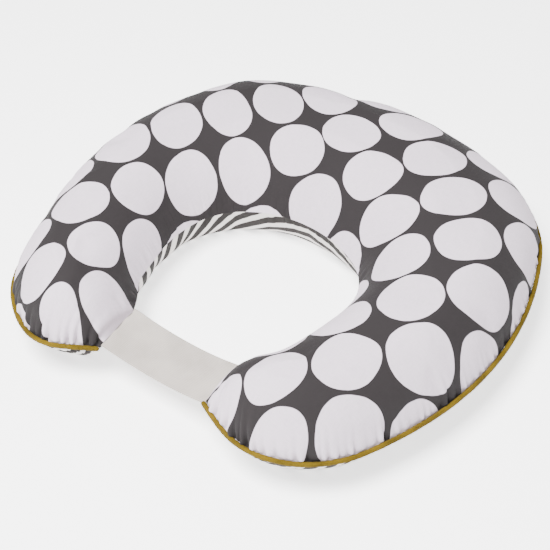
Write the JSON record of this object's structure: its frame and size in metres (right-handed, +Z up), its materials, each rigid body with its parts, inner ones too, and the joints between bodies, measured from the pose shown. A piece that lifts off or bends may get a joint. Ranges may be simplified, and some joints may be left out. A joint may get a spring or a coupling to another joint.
{
  "type": "nursing pillow",
  "caption": "C-shaped stuffed cushion in a zipped two-panel cover with piping, and an elastic band across its open side.",
  "frame": {"origin": "centre of the pillow's bounding box, on the surface it rests on", "axes": "+Z up, +Y towards the closed back of the C, so that the pillow opens towards -Y; +X towards the right-hand arm seen from the opening's side looking along +Y"},
  "size_m": [0.579, 0.5623, 0.122],
  "materials": {
    "pebble_print": "plain-weave cotton, charcoal ground with large off-white pebble dots",
    "stripe_print": "plain-weave cotton with narrow dark and cream stripes",
    "mustard_piping": "mustard cotton bias strip over a cord",
    "cotton_cord": "soft twisted filler cord",
    "cream_elastic": "woven elastic webbing, cream",
    "liner_cotton": "plain white lining cotton",
    "stuffing": "loose hollow-fibre stuffing",
    "zip_tape": "woven charcoal zip tape",
    "zip_coil": "nylon coil, charcoal",
    "zip_metal": "enamelled zinc slider and puller, charcoal",
    "stop_metal": "plain stamped zip stops",
    "label_satin": "blank white satin care label"
  },
  "bodies": {
    "pillow": {"filling": "stuffing", "liner_top": "liner_cotton", "liner_base": "liner_cotton", "top_panel": "pebble_print", "base_panel": "stripe_print", "piping_cover": "mustard_piping", "piping_cord": "cotton_cord", "elastic_band": "cream_elastic", "zip_tape_upper": "zip_tape", "zip_tape_lower": "zip_tape", "zip_coil_upper": "zip_coil", "zip_coil_lower": "zip_coil", "zip_end_stops": "stop_metal", "care_label": "label_satin"},
    "slider": {"zip_slider": "zip_metal"},
    "puller": {"zip_puller": "zip_metal"}
  },
  "joints": [
    {"name": "zip_travel", "type": "hinge", "parent": "pillow", "child": "slider", "pos_m": [0, -0.1238, 0], "axis": [0, 0, 1], "range_deg": [0, 36.5]},
    {"name": "puller_swing", "type": "hinge", "parent": "slider", "child": "puller", "pos_m": [0.12416, 0.24943, 0.0291], "axis": [-0.1578, -0.4744, -0.866], "range_deg": [0, 150]}
  ]
}
